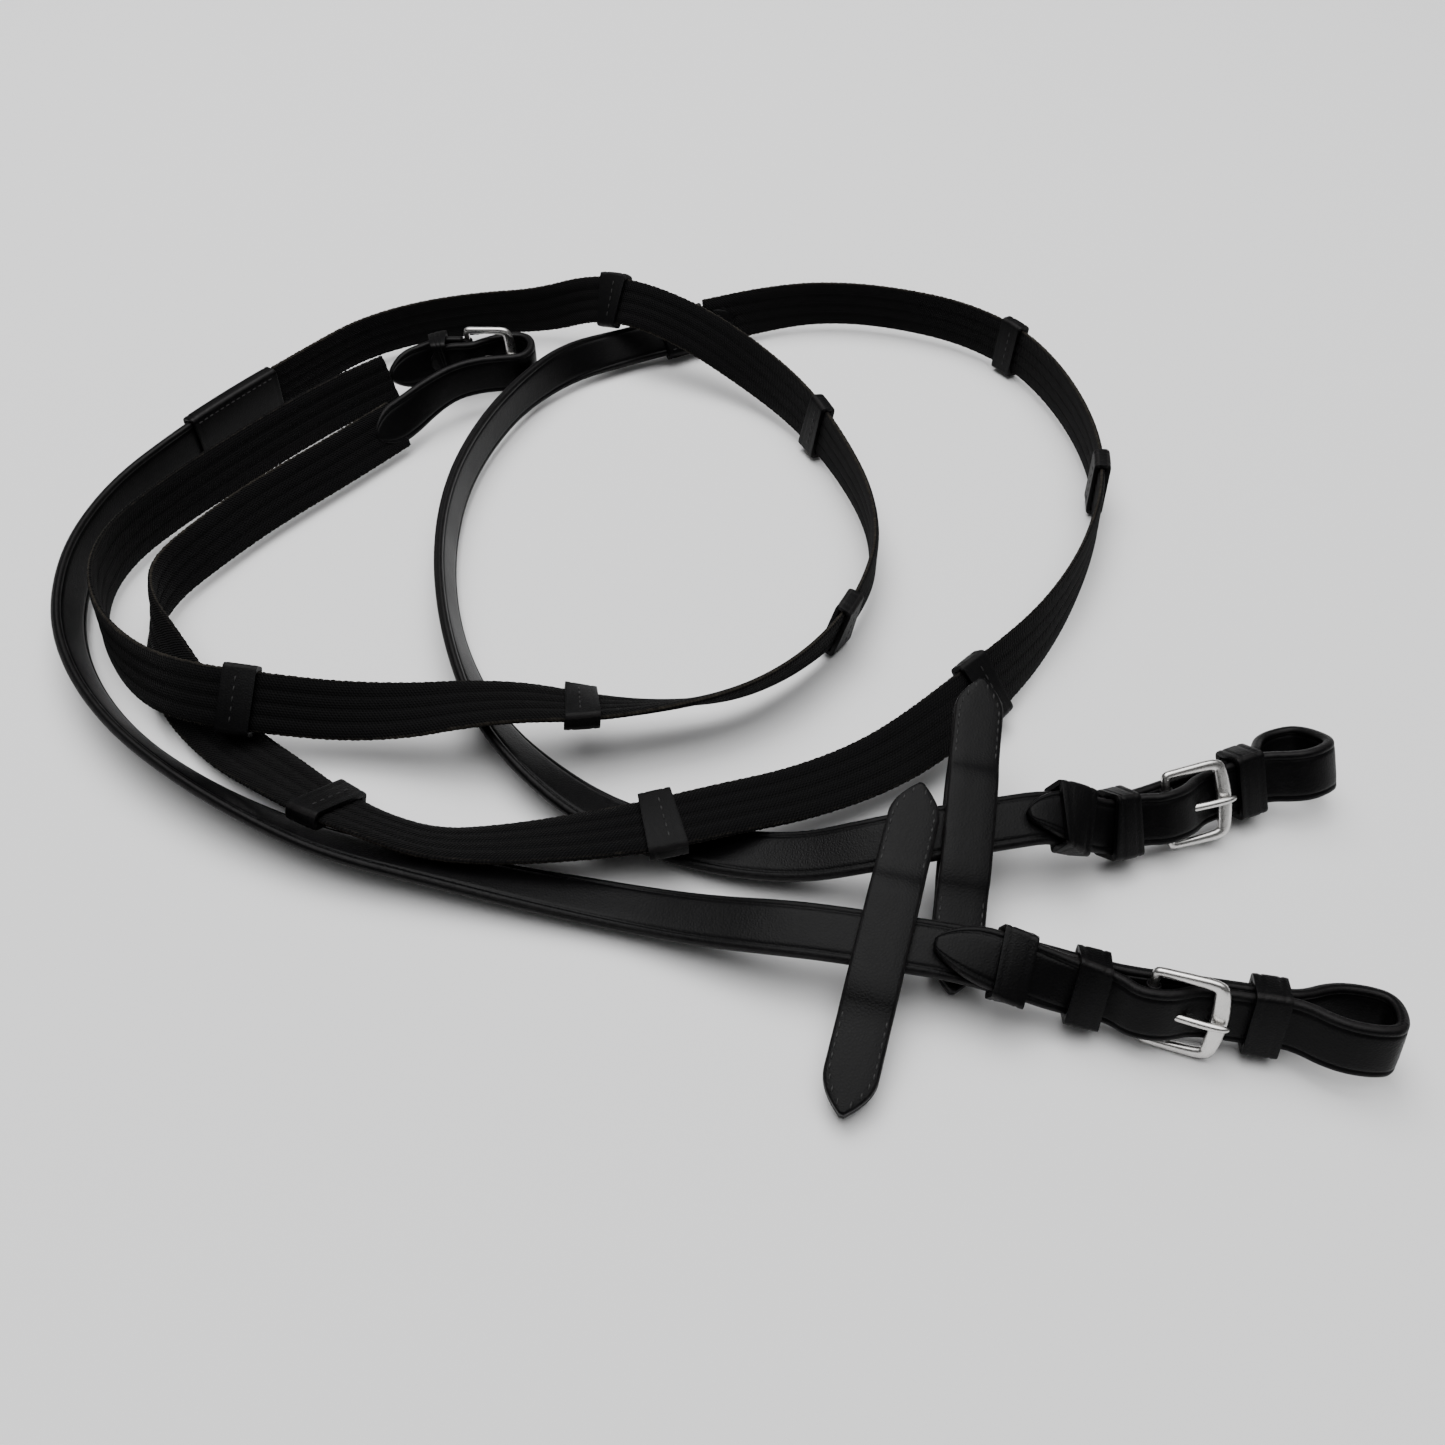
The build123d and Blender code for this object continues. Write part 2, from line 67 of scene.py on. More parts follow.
leatherRouteB = [
    (0.178, -0.103, 0.009, -62), (0.16, -0.1106, 0.009, -62), (0.142, -0.1182, 0.009, -62),
    (0.131, -0.1228, 0.0105, -56), (0.117, -0.1246, 0.0173, -18.5), (0.104, -0.1272, 0.0173, -18.5),
    (0.091, -0.1298, 0.0173, -18.5), (0.077, -0.1326, 0.0173, -18.5), (0.064, -0.134, 0.015, -17),
    (0.046, -0.133, 0.0085, -12), (0.026, -0.128, 0.0042, -6), (0.005, -0.121, 0.003, 2),
    (-0.016, -0.111, 0.0043, 14), (-0.034, -0.096, 0.006, 28), (-0.049, -0.078, 0.0073, 44),
    (-0.06, -0.056, 0.0082, 60), (-0.069, -0.03, 0.0086, 72), (-0.075, 0, 0.0086, 77),
    (-0.077, 0.03, 0.0086, 80), (-0.075, 0.058, 0.0086, 84), (-0.068, 0.087, 0.0086, 86),
    (-0.057, 0.113, 0.0086, 86), (-0.041, 0.136, 0.0078, 64), (-0.02, 0.15, 0.006, 36),
    (0.004, 0.161, 0.0066, 42), (0.028, 0.171, 0.0093, 62)]
webRouteB = [
    (0.028, 0.171, 0.0093, 62), (0.05, 0.18, 0.0096, 78), (0.076, 0.182, 0.0098, 86),
    (0.102, 0.176, 0.0098, 86), (0.127, 0.164, 0.0098, 84), (0.147, 0.143, 0.0098, 83),
    (0.158, 0.116, 0.0098, 85), (0.164, 0.086, 0.0098, 88), (0.165, 0.058, 0.0098, 90),
    (0.161, 0.032, 0.0098, 91), (0.153, 0.008, 0.0098, 94), (0.142, -0.016, 0.0098, 99),
    (0.128, -0.039, 0.0102, 109), (0.112, -0.059, 0.011, 127), (0.09, -0.082, 0.0105, 152),
    (0.07, -0.098, 0.01, 165), (0.046, -0.11, 0.0105, 172), (0.024, -0.118, 0.0128, 176),
    (0.003, -0.1245, 0.0128, 178), (-0.018, -0.127, 0.0108, 185), (-0.042, -0.127, 0.0072, 194),
    (-0.062, -0.126, 0.0062, 204), (-0.08, -0.1205, 0.0085, 210), (-0.097, -0.111, 0.0082, 202),
    (-0.113, -0.098, 0.006, 189), (-0.127, -0.086, 0.0028, 180), (-0.138, -0.076, 0.0032, 174),
    (-0.15, -0.063, 0.0055, 158), (-0.161, -0.046, 0.0085, 135), (-0.168, -0.033, 0.0096, 112),
    (-0.17, -0.022, 0.0098, 92), (-0.17, -0.012, 0.0098, 80), (-0.167, -0.002, 0.0098, 72),
    (-0.159, 0.013, 0.0096, 66), (-0.149, 0.03, 0.0093, 60), (-0.137, 0.046, 0.0092, 58),
    (-0.124, 0.062, 0.0092, 58), (-0.112, 0.078, 0.0092, 58)]
endRouteB = [
    (-0.112, 0.078, 0.0092, 58), (-0.103, 0.09, 0.0098, 64), (-0.095, 0.102, 0.0115, 80),
    (-0.0865, 0.112, 0.0126, 90), (-0.077, 0.1176, 0.0126, 90), (-0.067, 0.1194, 0.0126, 90),
    (-0.0575, 0.1206, 0.0126, 90), (-0.0545, 0.1295, 0.0126, 90), (-0.0585, 0.1376, 0.0126, 90),
    (-0.067, 0.1372, 0.0126, 90), (-0.075, 0.133, 0.0126, 90), (-0.08, 0.129, 0.0126, 90),
    (-0.087, 0.1289, 0.0126, 90), (-0.097, 0.1275, 0.0126, 90)]


camera = {"place": (0.0223, -0.3848, 0.3323), "tip": 45.0, "lens": 36.1, "sensor": 36.0}
light = {"dim": 0.1, "bright": 4.1, "key": 9.0, "keySize": 0.9, "floor": (0.9, 0.9, 0.905, 1)}


def makeStage():
    data = bpy.data.cameras.new("camera")
    data.lens = camera["lens"]
    data.sensor_width = camera["sensor"]
    view = bpy.data.objects.new("camera", data)
    view.location = camera["place"]
    view.rotation_euler = (math.radians(camera["tip"]), 0, 0)
    bpy.context.collection.objects.link(view)
    bpy.context.scene.camera = view
    world = bpy.data.worlds.new("softRoom")
    world.use_nodes = True
    tree = world.node_tree
    sky = tree.nodes["Background"]
    sky.inputs["Color"].default_value = (1, 1, 1, 1)
    toward = tree.nodes.new("ShaderNodeSeparateXYZ")
    tree.links.new(tree.nodes.new("ShaderNodeTexCoord").outputs["Generated"], toward.inputs[0])
    slope = tree.nodes.new("ShaderNodeMath")
    slope.operation = "MULTIPLY_ADD"
    slope.inputs[1].default_value = 0.05
    tree.links.new(toward.outputs["Y"], slope.inputs[0])
    tree.links.new(toward.outputs["Z"], slope.inputs[2])
    ramp = tree.nodes.new("ShaderNodeMapRange")
    ramp.interpolation_type = "SMOOTHSTEP"
    ramp.inputs["From Min"].default_value = 0.72
    ramp.inputs["From Max"].default_value = 1.0
    ramp.inputs["To Min"].default_value = light["dim"]
    ramp.inputs["To Max"].default_value = light["bright"]
    tree.links.new(slope.outputs[0], ramp.inputs["Value"])
    tree.links.new(ramp.outputs["Result"], sky.inputs["Strength"])
    bpy.context.scene.world = world
    lamps = [("keyLight", (-0.15, 0.55, 1.2), light["key"], light["keySize"])]
    for name, place, power, size in lamps:
        lamp = bpy.data.lights.new(name, "AREA")
        lamp.energy = power
        lamp.size = size
        holder = bpy.data.objects.new(name, lamp)
        holder.location = place
        holder.rotation_euler = (Vector((0, 0, 0)) - Vector(place)).to_track_quat("-Z", "Y").to_euler()
        bpy.context.collection.objects.link(holder)
    bm = bmesh.new()
    bmesh.ops.create_grid(bm, x_segments=1, y_segments=1, size=6.0)
    mesh = bpy.data.meshes.new("floor")
    bm.to_mesh(mesh)
    bm.free()
    floor = bpy.data.objects.new("floor", mesh)
    bpy.context.collection.objects.link(floor)
    pale = bpy.data.materials.new("paleFloor")
    pale.use_nodes = True
    shader = pale.node_tree.nodes["Principled BSDF"]
    shader.inputs["Base Color"].default_value = light["floor"]
    shader.inputs["Roughness"].default_value = 0.85
    mesh.materials.append(pale)


makeStage()
print("stage and camera")


# paths: the smooth curve of each route, its length and its directions
def splinePoints(rows):
    data = bpy.data.curves.new("route", "CURVE")
    data.dimensions = "3D"
    spline = data.splines.new("NURBS")
    spline.points.add(len(rows) - 1)
    for point, row in zip(spline.points, rows):
        point.co = (row[0], row[1], row[2], 1)
    spline.order_u = 3
    spline.use_endpoint_u = True
    spline.resolution_u = 12
    holder = bpy.data.objects.new("route", data)
    mesh = bpy.data.meshes.new_from_object(holder)
    points = [v.co.copy() for v in mesh.vertices]
    bpy.data.objects.remove(holder)
    bpy.data.curves.remove(data)
    bpy.data.meshes.remove(mesh)
    return points


def makePath(route):
    points = [p + layoutShift for p in splinePoints(route)]
    rolls = [p.x for p in splinePoints([(row[3], 0, 0) for row in route])]
    lengths = [0.0]
    for a, b in zip(points, points[1:]):
        lengths.append(lengths[-1] + (b - a).length)
    return {"points": points, "rolls": rolls, "lengths": lengths, "long": lengths[-1]}


def placeAt(path, s):
    lengths = path["lengths"]
    low, high = 0, len(lengths) - 2
    while low < high:
        middle = (low + high + 1) // 2
        if lengths[middle] <= s:
            low = middle
        else:
            high = middle - 1
    k = (s - lengths[low]) / (lengths[low + 1] - lengths[low])
    held = min(max(k, 0), 1)
    roll = path["rolls"][low] * (1 - held) + path["rolls"][low + 1] * held
    return path["points"][low].lerp(path["points"][low + 1], k), math.radians(roll)


def frameAt(path, s):
    here, roll = placeAt(path, s)
    along = (placeAt(path, s + 0.0008)[0] - placeAt(path, s - 0.0008)[0]).normalized()
    left = Vector((-along.y, along.x, 0)).normalized()
    up = along.cross(left)
    across = left * math.cos(roll) + up * math.sin(roll)
    return here, along, across, along.cross(across)


def stripStations(path, line):
    # line holds (length, height) pairs; a station is place, across, through, distance run
    stations = []
    run = 0.0
    for i, (s, m) in enumerate(line):
        before, after = line[max(i - 1, 0)], line[min(i + 1, len(line) - 1)]
        ds, dm = after[0] - before[0], after[1] - before[1]
        here, along, across, face = frameAt(path, s)
        if i:
            run += math.hypot(s - line[i - 1][0], m - line[i - 1][1])
        stations.append((here + face * m, across, (face * ds - along * dm).normalized(), run))
    return stations


def levelLine(start, end, height=0.0, step=0.002):
    count = max(2, round(abs(end - start) / step))
    return [(start + (end - start) * k / count, height) for k in range(count + 1)]


def nearestLength(path, x, y):
    target = Vector((x, y, 0)) + layoutShift
    gaps = [(p.xy - target.xy).length for p in path["points"]]
    return path["lengths"][gaps.index(min(gaps))]


# a strap is one outline carried along its stations by extrusion
def sweepStrap(name, stations, outline, widths=None, ends="filled", saw=None, swell=None):
    bm = bmesh.new()
    place = bm.verts.layers.float_vector.new("strapPlace")
    half = max(abs(x) for x, y in outline)
    level = sum(y for x, y in outline) / len(outline)
    edges = []
    ring = [bm.verts.new((0, 0, 0)) for _ in outline]
    for i in range(len(ring)):
        edges.append(bm.edges.new((ring[i], ring[(i + 1) % len(ring)])))
    first = edges
    for i, (here, across, through, run) in enumerate(stations):
        if i:
            out = bmesh.ops.extrude_edge_only(bm, edges=edges)
            fresh = [g for g in out["geom"] if isinstance(g, bmesh.types.BMVert)]
            edges = [g for g in out["geom"] if isinstance(g, bmesh.types.BMEdge)
                     and g.verts[0] in fresh and g.verts[1] in fresh]
            known = set(fresh)
            linked = []
            for v in ring:
                linked.append(next(e.other_vert(v) for e in v.link_edges if e.other_vert(v) in known))
            ring = linked
        wide = widths(i / (len(stations) - 1)) if widths else 1.0
        if saw:
            wide *= 1 + saw * (1 if i % 2 else -1) * (0.6 + 0.4 * math.sin(i * 1.7))
        grow = swell(i / (len(stations) - 1)) if swell else 0.0
        for v, (x, y) in zip(ring, outline):
            edge = abs(x) / half
            side = x * (wide if widths or edge > 0.93 else 1.0)
            outward = Vector((x, y - level, 0)).normalized() * grow
            v.co = here + across * (side + outward.x) + through * (y + outward.y)
            v[place] = (run, side, edge if y > -1e-6 else -edge)
    if ends == "filled":
        bmesh.ops.edgeloop_fill(bm, edges=first)
        bmesh.ops.edgeloop_fill(bm, edges=edges)
    if ends == "joined":
        bmesh.ops.remove_doubles(bm, verts=bm.verts, dist=0.00001)
    bmesh.ops.recalc_face_normals(bm, faces=bm.faces)
    mesh = bpy.data.meshes.new(name)
    bm.to_mesh(mesh)
    bm.free()
    for face in mesh.polygons:
        face.use_smooth = True
    piece = bpy.data.objects.new(name, mesh)
    bpy.context.collection.objects.link(piece)
    return piece


def leatherOutline(width, thick, crease=0.0018):
    w, t = width / 2, thick / 2
    top = [(-w, 0), (-w + 0.0001, t * 0.5), (-w + 0.0005, t * 0.86), (-w + 0.0011, t)]
    if crease:
        top += [(-w + crease, t), (-w + crease + 0.0003, t - 0.00035), (-w + crease + 0.0006, t),
                (-w + crease + 0.0016, t + 0.00008)]
    top += [(-w * 0.35, t + 0.00012)]
    upper = top + [(-x, y) for x, y in reversed(top)]
    lower = [(x, -y) for x, y in reversed(upper[1:-1])]
    return upper + lower


def webOutline(width, thick, ribs=4):
    w, t = width / 2, thick / 2
    upper = [(-w, 0), (-w + 0.0003, t * 0.55)]
    inner = w - 0.0011
    steps = ribs * 6
    for k in range(steps + 1):
        x = -inner + 2 * inner * k / steps
        rib = abs(math.sin(math.pi * ribs * (x + inner) / (2 * inner)))
        upper.append((x, t - 0.0005 + 0.0005 * rib ** 0.6))
    upper += [(w - 0.0003, t * 0.55), (w, 0)]
    lower = [(x, -y) for x, y in reversed(upper[1:-1])]
    return upper + lower


def finish(piece, material, body="reins", replaced=()):
    piece.data.materials.clear()
    piece.data.materials.append(material)
    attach(piece, body)
    if replaced:
        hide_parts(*replaced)


def thicken(piece, wall, bevel):
    shell = piece.modifiers.new("wall", "SOLIDIFY")
    shell.thickness = wall
    shell.offset = -1
    round_ = piece.modifiers.new("edges", "BEVEL")
    round_.width = bevel
    round_.segments = 3
    round_.limit_method = "ANGLE"
    round_.angle_limit = math.radians(50)


# materials: shared effects are node groups that put out only masks, values and colours
def newGroup(name, inputs, outputs):
    group = bpy.data.node_groups.new(name, "ShaderNodeTree")
    for label, kind, value in inputs:
        socket = group.interface.new_socket(label, in_out="INPUT", socket_type=kind)
        if value is not None:
            socket.default_value = value
    for label, kind in outputs:
        group.interface.new_socket(label, in_out="OUTPUT", socket_type=kind)
    return group, group.nodes.new("NodeGroupInput"), group.nodes.new("NodeGroupOutput")


def addNode(tree, kind, links=None, **settings):
    node = tree.nodes.new(kind)
    for key, value in settings.items():
        setattr(node, key, value)
    for key, value in (links or {}).items():
        if isinstance(value, bpy.types.NodeSocket):
            tree.links.new(value, node.inputs[key])
        else:
            node.inputs[key].default_value = value
    return node


def mathNode(tree, operation, *values):
    return addNode(tree, "ShaderNodeMath", dict(enumerate(values)), operation=operation).outputs[0]


def makeGrainGroup():
    group, given, out = newGroup(
        "leatherGrain", [("Vector", "NodeSocketVector", None), ("Size", "NodeSocketFloat", 900.0)],
        [("Height", "NodeSocketFloat"), ("Tone", "NodeSocketFloat")])
    spot = given.outputs["Vector"]
    cells = addNode(group, "ShaderNodeTexVoronoi", {"Vector": spot, "Scale": given.outputs["Size"]},
                    feature="DISTANCE_TO_EDGE")
    soft = addNode(group, "ShaderNodeTexNoise", {"Vector": spot, "Scale": 260.0, "Detail": 5.0})
    wide = addNode(group, "ShaderNodeTexNoise", {"Vector": spot, "Scale": 38.0, "Detail": 3.0})
    pores = mathNode(group, "MINIMUM", mathNode(group, "MULTIPLY", cells.outputs["Distance"], 3.0), 1.0)
    height = mathNode(group, "ADD", mathNode(group, "MULTIPLY", pores, 0.6), soft.outputs["Fac"])
    group.links.new(height, out.inputs["Height"])
    group.links.new(wide.outputs["Fac"], out.inputs["Tone"])
    return group


def makeWearGroup():
    group, given, out = newGroup(
        "edgeWear", [("Edge", "NodeSocketFloat", 0.0), ("Start", "NodeSocketFloat", 0.9),
                     ("Vector", "NodeSocketVector", None)], [("Mask", "NodeSocketFloat")])
    spot = given.outputs["Vector"]
    rough = addNode(group, "ShaderNodeTexNoise", {"Vector": spot, "Scale": 420.0, "Detail": 4.0})
    shift = mathNode(group, "MULTIPLY", mathNode(group, "SUBTRACT", rough.outputs["Fac"], 0.5), 0.16)
    edge = mathNode(group, "ADD", mathNode(group, "ABSOLUTE", given.outputs["Edge"]), shift)
    ramp = addNode(group, "ShaderNodeMapRange",
                   {"Value": edge, "From Min": given.outputs["Start"], "From Max": 1.02})
    group.links.new(ramp.outputs["Result"], out.inputs["Mask"])
    return group


def makeWeaveGroup():
    group, given, out = newGroup(
        "twillWeave", [("Along", "NodeSocketFloat", 0.0), ("Across", "NodeSocketFloat", 0.0),
                       ("Pitch", "NodeSocketFloat", 0.0011)],
        [("Height", "NodeSocketFloat"), ("Tone", "NodeSocketFloat")])
    along, across = given.outputs["Along"], given.outputs["Across"]
    turns = mathNode(group, "DIVIDE", 6.2832, given.outputs["Pitch"])
    slope = mathNode(group, "ADD", along, mathNode(group, "MULTIPLY", across, 0.8))
    twill = mathNode(group, "SINE", mathNode(group, "MULTIPLY", slope, turns))
    closer = mathNode(group, "MULTIPLY", turns, 1.35)
    yarn = mathNode(group, "SINE", mathNode(group, "MULTIPLY", across, closer))
    place = addNode(group, "ShaderNodeCombineXYZ", {"X": along, "Y": across})
    fuzz = addNode(group, "ShaderNodeTexNoise", {"Vector": place.outputs[0], "Scale": 1800.0, "Detail": 3.0})
    height = mathNode(group, "ADD", mathNode(group, "MULTIPLY", twill, 0.5),
                      mathNode(group, "MULTIPLY", yarn, 0.25))
    height = mathNode(group, "ADD", height, mathNode(group, "MULTIPLY", fuzz.outputs["Fac"], 0.7))
    group.links.new(height, out.inputs["Height"])
    tone = mathNode(group, "ADD", mathNode(group, "MULTIPLY", twill, 0.25), fuzz.outputs["Fac"])
    group.links.new(tone, out.inputs["Tone"])
    return group


grainGroup, wearGroup, weaveGroup = makeGrainGroup(), makeWearGroup(), makeWeaveGroup()


def placeGroup(tree, group, links):
    node = tree.nodes.new("ShaderNodeGroup")
    node.node_tree = group
    for key, value in links.items():
        if isinstance(value, bpy.types.NodeSocket):
            tree.links.new(value, node.inputs[key])
        else:
            node.inputs[key].default_value = value
    return node


def newMaterial(name, shaderValues):
    material = bpy.data.materials.new(name)
    material.use_nodes = True
    tree = material.node_tree
    shader = tree.nodes["Principled BSDF"]
    for key, value in shaderValues.items():
        shader.inputs[key].default_value = value
    coordinates = addNode(tree, "ShaderNodeTexCoord").outputs["Object"]
    return material, tree, shader, coordinates


def blendColor(tree, mask, first, second):
    mix = addNode(tree, "ShaderNodeMix", data_type="RGBA")
    tree.links.new(mask, mix.inputs["Factor"])
    for index, value in ((6, first), (7, second)):
        if isinstance(value, bpy.types.NodeSocket):
            tree.links.new(value, mix.inputs[index])
        else:
            mix.inputs[index].default_value = value
    return mix.outputs[2]


def bumpFrom(tree, shader, height, strength, distance):
    bump = addNode(tree, "ShaderNodeBump", {"Height": height, "Strength": strength, "Distance": distance})
    tree.links.new(bump.outputs["Normal"], shader.inputs["Normal"])


leatherLook = {"dark": (0.0012, 0.0012, 0.0014, 1),
               "light": (0.003, 0.0029, 0.0032, 1), "edge": (0.012, 0.0112, 0.0115, 1),
               "gloss": 0.4, "shine": 0.09, "grain": 1100.0, "bump": 0.28}
bandLook = {"dark": (0.0015, 0.0015, 0.0017, 1),
            "light": (0.0038, 0.0037, 0.004, 1), "edge": (0.012, 0.0112, 0.0115, 1),
            "gloss": 0.5, "shine": 0.09, "grain": 1300.0, "bump": 0.34}
webLook = {"dark": (0.0016, 0.0016, 0.0018, 1),
           "light": (0.005, 0.0048, 0.005, 1), "edge": (0.03, 0.026, 0.021, 1),
           "pitch": 0.0011, "bump": 0.9}
steelLook = {"dark": (0.52, 0.51, 0.5, 1), "light": (0.74, 0.73, 0.71, 1), "roughness": 0.27}
threadLook = {"dark": (0.004, 0.004, 0.0042, 1), "light": (0.016, 0.0155, 0.0155, 1)}


def makeLeather(name, look):
    material, tree, shader, spot = newMaterial(name, {"Specular IOR Level": look["shine"]})
    grain = placeGroup(tree, grainGroup, {"Vector": spot, "Size": look["grain"]})
    color = blendColor(tree, grain.outputs["Tone"], look["dark"], look["light"])
    place = addNode(tree, "ShaderNodeAttribute", attribute_name="strapPlace")
    edge = addNode(tree, "ShaderNodeSeparateXYZ", {"Vector": place.outputs["Vector"]}).outputs["Z"]
    wear = placeGroup(tree, wearGroup, {"Edge": edge, "Start": 0.88, "Vector": spot})
    color = blendColor(tree, wear.outputs["Mask"], color, look["edge"])
    tree.links.new(color, shader.inputs["Base Color"])
    rough = addNode(tree, "ShaderNodeMapRange",
                    {"Value": grain.outputs["Tone"], "To Min": look["gloss"] - 0.08,
                     "To Max": look["gloss"] + 0.1})
    tree.links.new(rough.outputs["Result"], shader.inputs["Roughness"])
    bumpFrom(tree, shader, grain.outputs["Height"], look["bump"], 0.00025)
    return material


def makeWebMaterial():
    look = webLook
    material, tree, shader, spot = newMaterial(
        "webbing", {"Roughness": 0.9, "Sheen Weight": 0.02, "Sheen Roughness": 0.4,
                    "Specular IOR Level": 0.08})
    place = addNode(tree, "ShaderNodeAttribute", attribute_name="strapPlace")
    parts = addNode(tree, "ShaderNodeSeparateXYZ", {"Vector": place.outputs["Vector"]})
    weave = placeGroup(tree, weaveGroup, {"Along": parts.outputs["X"], "Across": parts.outputs["Y"],
                                          "Pitch": look["pitch"]})
    color = blendColor(tree, weave.outputs["Tone"], look["dark"], look["light"])
    wear = placeGroup(tree, wearGroup, {"Edge": parts.outputs["Z"], "Start": 0.93, "Vector": spot})
    color = blendColor(tree, wear.outputs["Mask"], color, look["edge"])
    tree.links.new(color, shader.inputs["Base Color"])
    bumpFrom(tree, shader, weave.outputs["Height"], look["bump"], 0.0003)
    return material


def makeSteel():
    material, tree, shader, spot = newMaterial("satinSteel", {"Metallic": 1.0})
    turned = addNode(tree, "ShaderNodeMapping", {"Vector": spot, "Scale": (60, 900, 300)})
    lines = addNode(tree, "ShaderNodeTexNoise", {"Vector": turned.outputs[0], "Scale": 8.0, "Detail": 4.0})
    wide = addNode(tree, "ShaderNodeTexNoise", {"Vector": spot, "Scale": 160.0, "Detail": 2.0})
    color = blendColor(tree, wide.outputs["Fac"], steelLook["dark"], steelLook["light"])
    tree.links.new(color, shader.inputs["Base Color"])
    even = steelLook["roughness"]
    rough = addNode(tree, "ShaderNodeMapRange",
                    {"Value": lines.outputs["Fac"], "To Min": even - 0.07, "To Max": even + 0.12})
    tree.links.new(rough.outputs["Result"], shader.inputs["Roughness"])
    bumpFrom(tree, shader, lines.outputs["Fac"], 0.12, 0.0001)
    return material


def makeThread():
    material, tree, shader, spot = newMaterial("waxedThread", {"Roughness": 0.6})
    twist = addNode(tree, "ShaderNodeTexWave", {"Vector": spot, "Scale": 900.0, "Distortion": 1.5})
    color = blendColor(tree, twist.outputs["Fac"], threadLook["dark"], threadLook["light"])
    tree.links.new(color, shader.inputs["Base Color"])
    bumpFrom(tree, shader, twist.outputs["Fac"], 0.4, 0.0001)
    return material


leather = makeLeather("bridleLeather", leatherLook)
bandLeather = makeLeather("bandLeather", bandLook)
webbing, steel, thread = makeWebMaterial(), makeSteel(), makeThread()
print("materials")


# straps
strap = {"leather": 0.016, "leatherThick": 0.0032, "web": 0.019, "webThick": 0.0026, "gap": 0.0003}
buckle = {"bar": 0.00115, "outerBar": 0.0015, "hinge": 0.00006, "chape": 0.0009, "tail": 0.007}
paths = {"a": {"leather": makePath(leatherRouteA), "web": makePath(webRouteA), "end": makePath(endRouteA)},
         "b": {"leather": makePath(leatherRouteB), "web": makePath(webRouteB), "end": makePath(endRouteB)}}
bitEnds = {"a": {"bar": 0.0305, "keepers": (0.001, 0.0465, 0.067), "tip": 0.088, "loop": 0.0295,
                 "mouth": 0.0115, "patch": 0.044, "point": 0.0, "tuck": 0.0,
                 "stopAt": (0.0663, -0.1669), "stopTurn": -5.5},
           "b": {"bar": 0.028, "keepers": (0.0, 0.044, 0.061), "tip": 0.074, "loop": 0.026,
                 "mouth": 0.015, "patch": 0.034, "point": 0.013, "tuck": 0.012,
                 "stopAt": (0.092, -0.1296), "stopTurn": -20.0}}
handStops = {"a": [(-0.024, 0.161), (0.061, 0.086), (0.064, -0.033), (-0.021, -0.078), (-0.128, -0.075)],
             "b": [(0.145, 0.146), (0.161, 0.048), (0.107, -0.065), (0.005, -0.124), (-0.096, -0.114)]}


def layerHeights():
    half, wrap = strap["leatherThick"] / 2, buckle["chape"]
    tail = half + 0.0003 + wrap / 2
    bar = tail + wrap / 2 + buckle["bar"] + buckle["hinge"]
    return {"billet": strap["leatherThick"] + strap["gap"], "bar": bar, "tail": tail,
            "overTail": tail + wrap / 2 + strap["gap"] + half,
            "overBar": bar + buckle["bar"] + buckle["hinge"] + wrap + strap["gap"] + half}


def leatherLine(path, end):
    heights = layerHeights()
    billet, over = heights["billet"], heights["overBar"]
    belly = (end["mouth"] + strap["leatherThick"] - billet) / 2
    bar, far = end["bar"], -end["loop"] - 0.002
    route = [(0.006, 0), (0, 0), (-0.007, 0), (far * 0.5, -belly), (far + 0.007, -belly * 1.15),
             (far, -belly * 0.75), (far, billet + belly * 0.75), (far + 0.007, billet + belly * 1.15),
             (far * 0.5, billet + belly), (-0.007, billet),
             (0, billet), (bar - 0.019, billet), (bar - 0.011, billet + 0.0003), (bar - 0.004, over),
             (bar + 0.004, over), (bar + buckle["tail"] + 0.001, heights["overTail"]),
             (bar + buckle["tail"] + 0.0045, billet), (bar + buckle["tail"] + 0.01, billet),
             (end["tip"] - 0.008, billet), (end["tip"], billet)]
    loop = [(p.x, p.y) for p in splinePoints([(s, m, 0) for s, m in route])]
    return levelLine(path["long"] - 0.0002, 0.006, 0, 0.003)[:-1] + loop


def pointed(stations, startLong, endLong):
    # share of the full width at each station, drawn to a rounded point at either end
    total = stations[-1][3]
    shares = []
    for station in stations:
        share = 1.0
        for left, tip in ((station[3], startLong), (total - station[3], endLong)):
            if left < tip:
                share = min(share, 0.16 + 0.84 * (1 - (1 - left / tip) ** 2) ** 0.8)
        shares.append(share)
    return lambda k: shares[round(k * (len(shares) - 1))]


def makeStraps(name):
    leatherPath, webPath = paths[name]["leather"], paths[name]["web"]
    stations = stripStations(leatherPath, leatherLine(leatherPath, bitEnds[name]))
    outline = leatherOutline(strap["leather"], strap["leatherThick"])
    piece = sweepStrap(f"rein_{name}_leather_strap", stations, outline,
                       pointed(stations, bitEnds[name]["point"], 0.015))
    finish(piece, leather, "reins", [f"rein_{name}_leather"])
    start, end = -bitEnds[name]["point"], webPath["long"] + bitEnds[name]["tuck"]
    stations = stripStations(webPath, levelLine(start, end, 0, 0.001))
    outline = webOutline(strap["web"], strap["webThick"])
    web = sweepStrap(f"rein_{name}_web_strap", stations, outline, saw=0.016)
    finish(web, webbing, "reins", [f"rein_{name}_web"])
    print("straps", name, round(leatherPath["long"], 3), round(webPath["long"], 3))


# leather bands round the straps: hand stops, keepers and joint patches
band = {"handStopLong": 0.0105, "handStopWall": 0.0016, "keeperLong": 0.009, "keeperWall": 0.0017,
        "coverWall": 0.0014, "snug": 0.00015, "slides": 0.00035}


